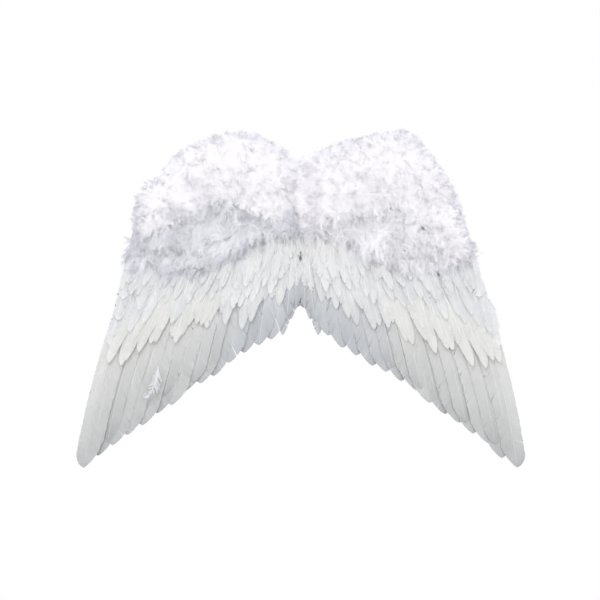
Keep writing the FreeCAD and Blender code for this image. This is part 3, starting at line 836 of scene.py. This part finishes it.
def grow(mesh, rng, style, roots, aims, normals, inward, side):
    """Plumes from roots: a curved shaft each, with fine barbs all round it."""
    many = len(roots)
    size = rng.uniform(0.65, 1.2, (many, 1, 1))
    across = unit(np.cross(normals, aims))[:, None]
    aims, normals, roots = aims[:, None], normals[:, None], roots[:, None]
    sway = rng.normal(0, 0.22, (many, 1, 1))
    share = np.sort(rng.uniform(0.02, 1, (many, style.barbs)), axis=1)[..., None]
    rise = style.lift * 4 * share * (1 - share) - style.droop * share**2
    middle = roots + style.length * size * (aims * share + normals * rise + across * sway * share**2)
    hand = rng.choice([-1, 1], (many, style.barbs, 1))
    angle = rng.uniform(0.2, 1.35, (many, style.barbs, 1)) * (1 - 0.45 * share)
    lean = rng.normal(0.1, 0.25, (many, style.barbs, 1))
    way = unit(aims * np.cos(angle) + across * hand * np.sin(angle) + normals * lean)
    reach = style.barb * size * rng.uniform(0.45, 1.15, (many, style.barbs, 1)) * (1 - 0.4 * share)
    curl = unit(rng.normal(0, 1, (many, style.barbs, 3)) + aims * 0.7 + np.array([0, 0, -0.5]))
    steps = np.array([0, 0.34, 0.67, 1.0])[None, None, :, None]
    bent = way[:, :, None] * steps + 0.3 * curl[:, :, None] * steps**2
    line = held_forward(middle[:, :, None] + reach[:, :, None] * bent)
    ahead = unit(np.gradient(line, axis=2))
    facing = unit(normals + 0.35 * rng.normal(0, 1, (many, style.barbs, 3)))[:, :, None]
    wide = unit(np.cross(ahead, facing)) * style.width * (1.05 - 0.8 * steps) / 2
    strips = np.stack([line - wide, line + wide], axis=3)
    strips = strips.reshape(many * style.barbs, 4, 2, 3)
    forward = np.array([0, -0.6 if style.front else 0.6, 0.15])
    lit = unit(normals + forward + style.shade * rng.normal(0, 1, (many, style.barbs, 3)))
    lit = mirrored(lit.reshape(-1, 1, 1, 3), side)
    # tone is the mask of the painted shade at the rim.
    tone = np.repeat(rim_shade_mask(inward, roots[:, 0, 0]), style.barbs)[:, None, None]
    mesh.add(mirrored(strips, side), flip=side == "left", normals=lit, values=(tone,))


def sow(mound, rng, style, count, rim_share):
    """Roots, directions and normals of plumes over a mound, some of them along its rim."""
    cells = len(mound.line)
    on_rim = rng.uniform(0, 1, count) < rim_share
    cell = np.where(on_rim, rng.choice(cells, count, p=mound.step), rng.choice(cells, count, p=mound.area))
    around = ((cell + rng.uniform(0, 1, count)) / cells) % 1
    inward = 1 - np.sqrt(rng.uniform((1 - style.high) ** 2, 1, count))
    inward = np.where(on_rim, rng.uniform(0, 0.1, count), inward)
    roots = mound.at(around, inward, style.front)
    normals = mound.facing(around, inward, style.front)
    out = mound.outward(around)
    near = (1 - smooth_step(0.02, 0.34, inward))[:, None] * style.flare
    aims = unit(np.array(style.flow) + rng.normal(0, style.spread, (count, 3)) * np.array([1, 0, 1]))
    aims = unit(aims * (1 - near) + (out + 0.35 * aims) * near)
    aims = unit(aims - normals * (aims * normals).sum(axis=1, keepdims=True))
    return roots - normals * style.sunk, aims, normals, inward


def down_piece(name, side, material, layers, seed, replaced=None, mound=None, body=None, half=False):
    """A piece of down from (mound, style, count, rim share) layers, over a mound if one is given.

    With half, the plumes across the middle are turned over to the piece's own side.
    """
    rng = np.random.default_rng(seed + SIGNS[side])
    mesh = Mesh()
    if mound is not None:
        mound.mesh(mesh, side)
    for source, style, count, rim_share in layers:
        roots, aims, normals, inward = sow(source, rng, style, count, rim_share)
        if half:
            turned = np.where(roots[:, :1] < 0, [[-1, 1, 1]], 1)
            roots, aims, normals = roots * turned, aims * turned, normals * turned
        grow(mesh, rng, style, roots, aims, normals, inward, side)
    # The "inward" values hold the mask of the painted rim shade.
    made = mesh.build(name, [material], keys=("inward",))
    made.visible_shadow = mound is not None  # light filters through the outer wisps
    attach(made, body or f"{side}_wing", bends=body is None)
    if replaced:
        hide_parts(replaced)
    return made


def down(side):
    """The lower bank and the crest of one wing."""
    crest = Mound(CREST_EDGE[side], back=DOWN_BACK, rim=26, crown=38, seed=71, puff=46, swell=5)
    bank = Mound(BANK_EDGE[side], back=26, rim=27, crown=30, seed=73, puff=27, swell=7)
    soft = Plumes(length=13, barb=6.5, barbs=50, width=0.45, lift=0.08, droop=0.05, spread=1.6, sunk=1.0)
    tuft = Plumes(length=18, barb=8, barbs=50, lift=0.18, width=0.45, spread=0.6, flare=0.35, sunk=1.0)
    fringe = Plumes(length=5, barb=5.5, barbs=40, lift=0.1, width=0.4, spread=0.6)
    behind = Plumes(length=9, barb=6, barbs=40, width=0.45, spread=1.2, front=False, sunk=0.5, high=0.3)
    rims = [(crest, fringe, 420, 1.0), (crest, behind, 420, 0.3)]
    # Each side's bank takes its own copy of the down, with painted shade on the left and painted light on the
    # right.
    bank_shading = f"{side}_bank"
    down_piece(f"{side}_bank_down", side, bank_shading, [(bank, tuft, 330, 0.12)], 81, f"{side}_down_bank", bank)
    down_piece(f"{side}_bank_tufts", side, bank_shading, [(bank, tuft, 400, 0.2)], 83)
    down_piece(f"{side}_crest_down", side, "crest", [(crest, soft, 300, 0.08)], 91, f"{side}_down_crest",
               crest)
    down_piece(f"{side}_crest_plumes", side, "crest", [(crest, soft, 650, 0.06)], 93)
    down_piece(f"{side}_crest_wisps", side, "crest", [(crest, soft, 650, 0.06)], 94)
    down_piece(f"{side}_crest_fringe", side, "crest", rims, 95)


def centre_down():
    """The down over the join, on the back panel. Each side's outer wisps get a mesh of their own."""
    core = Mound(CENTRE_EDGE, back=10, rim=11, crown=17, seed=75, puff=30, swell=1)
    outer = Mound(CENTRE_EDGE, back=10, rim=14, crown=30, seed=75, puff=30, swell=4)
    hanging = dict(barbs=44, lift=0.2, width=0.45, flow=(0, 0, -1), flare=0.3)
    strands = Plumes(length=13, barb=7, spread=1.0, **hanging)
    tight = Plumes(length=9, barb=5, spread=0.5, **hanging)
    down_piece("centre_down_tufts", "right", "crest", [(core, tight, 100, 0.1)], 97, "centre_down", core,
               body="back_panel")
    for side in SIGNS:
        made = down_piece(f"{side}_centre_wisps", side, "crest", [(outer, strands, 190, 0.1)], 98,
                          body="back_panel", half=True)
        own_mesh(made)


# ------------ webbing, pad and felt


def stitches(name, body, lines, lift, stitch=3.2, pitch=5.2, radius=0.28):
    """A row of short thread stitches along each line of points; lift raises their middles along +Y."""
    mesh = Mesh()
    for line in lines:
        line = np.asarray(line, float)
        steps = np.concatenate([[0], np.cumsum(np.linalg.norm(np.diff(line, axis=0), axis=1))])
        for start in np.arange(0, steps[-1] - stitch, pitch):
            places = np.linspace(start, start + stitch, 5)
            path = np.stack([np.interp(places, steps, line[:, axis]) for axis in range(3)], axis=-1)
            path[:, 1] += lift * np.sin(np.linspace(0, math.pi, 5))
            tube(mesh, path, radius, sides=6)
    made = mesh.build(name, ["thread"])
    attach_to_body(made, body)
    return made


def strap(side):
    """One elastic shoulder loop: flat webbing that leaves the back panel, goes round and comes back."""
    line = spline(STRAP_LINE, 260, closed=False)
    ahead = unit(np.gradient(line, axis=0))
    aside = np.stack([-ahead[:, 1], ahead[:, 0]], axis=-1)
    along = np.concatenate([[0], np.cumsum(np.linalg.norm(np.diff(line, axis=0), axis=1))])[:, None]
    half_width, half_thick, corner = 10.0, 0.75, 0.5
    flat = np.linspace(-half_width + corner, half_width - corner, 15)
    across = np.concatenate([flat, [half_width], flat[::-1], [-half_width]])
    raised = np.concatenate([np.full(15, half_thick), [0], np.full(15, -half_thick), [0]])
    x = SIGNS[side] * STRAP_X + across[None, :] * (1 - 0.03 * np.sin(along / 17))
    y = line[:, :1] + aside[:, :1] * raised
    z = line[:, 1:] + aside[:, 1:] * raised
    mesh = Mesh()
    grid = np.stack(np.broadcast_arrays(x, y, z), axis=-1)
    mesh.add(grid, wrap=True, values=(along, across[None, :]))
    for end in (0, -1):
        cap = np.stack([grid[end, :16], grid[end, [0, *range(31, 16, -1)]]])
        mesh.add(cap, flip=end == 0, values=(along[end], across[:16]))
    made = mesh.build(f"{side}_strap_webbing", ["webbing"], keys=("along", "across"))
    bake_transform(made)
    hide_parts(f"{side}_strap_loop", *(["strap_ends"] if side == "right" else []))
    lines = []
    for sign in (1, -1):
        low, high = 46.5, 61.5
        box = [(-8, low), (8, low), (8, high), (-8, high), (-8, low)]
        lines.append([(SIGNS[side] * STRAP_X + x, -4.4, sign * z) for x, z in box])
    stitches(f"{side}_strap_stitches", "back_panel", lines, 0.25)


def swollen(made):
    """Blows a pad up with cloth simulation, by a capped distance, and keeps the shape."""
    start = points_of(made.data)
    cloth = made.modifiers.new("cloth", "CLOTH")
    cloth.settings.use_pressure = True
    cloth.settings.uniform_pressure_force = 4
    cloth.settings.effector_weights.gravity = 0
    for number in range(1, 21):
        SCENE.frame_set(number)
    moved = points_of(shown(made).data) - start
    made.modifiers.remove(cloth)
    SCENE.frame_set(1)
    far = np.linalg.norm(moved, axis=1, keepdims=True)
    return start + moved * np.minimum(1, PAD_SWELL * MM / np.maximum(far, 1e-9))


def back_pad():
    """The soft pad on the back panel: swollen, flat on the panel and sewn across in channels."""
    made = placed("back_pad_cushion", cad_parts["back_pad"].data.copy())
    remesh = made.modifiers.new("remesh", "REMESH")
    remesh.mode = "VOXEL"
    remesh.voxel_size = 2.2 * MM
    data = bpy.data.meshes.new_from_object(shown(made))
    made.modifiers.clear()
    made.data = data
    low, high = (np.array(corner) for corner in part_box("back_pad"))
    middle = (low + high) / 2
    points = middle + (points_of(data) - middle) * np.array([0.96, 0.9, 0.985])
    data.vertices.foreach_set("co", points.ravel())
    points = swollen(made)
    points[:, 1] = np.maximum(points[:, 1], low[1])
    pinch = sum(np.exp(-((points[:, 2] / MM - z) / 3.0) ** 2) for z in PAD_CHANNELS)
    thick = points[:, 1] - low[1]
    points[:, 1] = low[1] + thick * (1 - 0.5 * np.clip(pinch, 0, 1))
    data.vertices.foreach_set("co", points.ravel())
    data.polygons.foreach_set("use_smooth", np.ones(len(data.polygons), bool))
    data.materials.clear()
    data.materials.append(MATERIALS["pad"])
    data.update()
    subdivision = made.modifiers.new("subdivision", "SUBSURF")
    subdivision.levels = subdivision.render_levels = 1
    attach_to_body(made, "back_panel")
    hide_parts("back_pad")
    half = (high[0] - low[0]) / MM / 2 - 2.5
    depth = low[1] / MM + 0.52 * (high[1] - low[1]) / MM
    lines = [[(-half, depth, z), (half, depth, z)] for z in PAD_CHANNELS]
    stitches("back_pad_stitches", "back_panel", lines, 0.3)


def felt_lining(side):
    """The felt on a wing's rear face, its edge turned in and sewn down."""
    line = spline(FELT_EDGE, 220)
    middle = line.mean(axis=0)
    rings = np.array([1.0, 0.997, 0.985, 0.95, 0.88, 0.78, 0.66, 0.52, 0.38, 0.24, 0.1, 0.001])[:, None, None]
    flat = middle + (line - middle) * rings
    x, z = flat[..., 0], flat[..., 1]
    turned_in = np.array([1.1, 0.5, 0.12] + [0] * 9)[:, None]
    depth = FELT_BACK + turned_in + 0.18 * (1 + np.sin(x / 9 + np.sin(z / 13)) * np.sin(z / 11))
    mesh = Mesh()
    mesh.add(mirrored(np.stack([x, -depth, z], axis=-1), side), wrap=True, flip=side == "right")
    made = mesh.build(f"{side}_felt_sheet", ["felt"])
    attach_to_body(made, f"{side}_wing")
    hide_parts(f"{side}_felt_lining")
    inset = middle + (line - middle) * 0.965
    closed = np.concatenate([inset, inset[:1]])
    path = mirrored(np.stack([closed[:, 0], np.full(len(closed), -FELT_BACK), closed[:, 1]], axis=-1), side)
    thread = stitches(f"{side}_felt_stitches", f"{side}_wing", [path], 0.25, stitch=4.0, pitch=6.6)


# ------------ stage


def lamp(name, size, energy, place, aim):
    """A soft square area light."""
    data = bpy.data.lights.new(name, "AREA")
    data.size = size
    data.energy = energy
    made = placed(name, data)
    made.location = place
    made.rotation_euler = (Vector(aim) - Vector(place)).to_track_quat("-Z", "Y").to_euler()


def stage():
    """White surroundings, soft studio light and a pale floor."""
    world = bpy.data.worlds.new("studio")
    SCENE.world = world
    world.use_nodes = True
    tree = world.node_tree
    tree.nodes.clear()
    seen = node(tree, "ShaderNodeLightPath").outputs["Is Camera Ray"]
    soft = node(tree, "ShaderNodeBackground", {"Color": (0.97, 0.98, 1.0, 1), "Strength": 0.92})
    way = node(tree, "ShaderNodeTexCoord").outputs["Generated"]
    height = node(tree, "ShaderNodeSeparateXYZ", {"Vector": way}).outputs["Z"]
    down_share = node(tree, "ShaderNodeMapRange", {"Value": height, "From Min": -0.17, "From Max": -0.36})
    shade = ramp(tree, down_share.outputs[0], [(0.0, grey(1.0)), (1.0, grey(FLOOR_SEEN))])
    white = node(tree, "ShaderNodeBackground", {"Color": shade, "Strength": 1.0})
    mixed = node(tree, "ShaderNodeMixShader", {0: seen, 1: soft.outputs[0], 2: white.outputs[0]})
    node(tree, "ShaderNodeOutputWorld", {"Surface": mixed.outputs[0]})
    lamp("key", 1.4, 22, (-0.5, -1.6, 1.5), (0, 0, 0))
    lamp("fill", 1.6, 5, (1.4, -1.5, 0.4), (0, 0, -0.05))
    lamp("rear", 1.2, 9, (0.9, 1.7, 1.3), (0, 0, 0))
    SCENE.view_settings.view_transform = "Standard"
    bpy.ops.mesh.primitive_plane_add(size=2.6, location=(0, 0, -0.78))
    floor = bpy.context.object
    floor.name = "floor"
    floor.data.materials.append(MATERIALS["floor"])


def camera():
    """Straight on, and far enough away to flatten the wings."""
    distance, across = 3.0, 0.805
    data = bpy.data.cameras.new("camera")
    data.lens = data.sensor_width * distance / across
    SCENE.camera = placed("camera", data)
    SCENE.camera.location = (-0.0007, -distance - 0.02, -0.094)
    SCENE.camera.rotation_euler = (math.radians(90), 0, 0)


def wings():
    """Both wings' feathers and down."""
    for side in SIGNS:
        flight_feathers(side)
        secondary_feathers(side)
        covert_feathers(side)
        edge_feathers(side)
        quills(side)
        inner_feathers(side)
        down(side)
    centre_feathers()
    centre_down()
    stray_feather()


def keep_cad():
    """Materials for the CAD nodes that stay as they are."""
    on_wings = {"hinge_sleeve": "felt", "wire_frame": "wire", "wire_ferrule": "ferrule",
                "wire_ties": "felt", "wing_board": "board", "feather_tapes": "felt"}
    kept = {"back_board": "panel", "strap_rivets": "rivet"}
    kept.update({f"{side}_{key}": material for side in SIGNS for key, material in on_wings.items()})
    for name, material in kept.items():
        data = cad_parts[name].data
        data.materials.clear()
        data.materials.append(MATERIALS[material])


stage()
camera()
keep_cad()
wings()
back_pad()
for hand in SIGNS:
    strap(hand)
    felt_lining(hand)
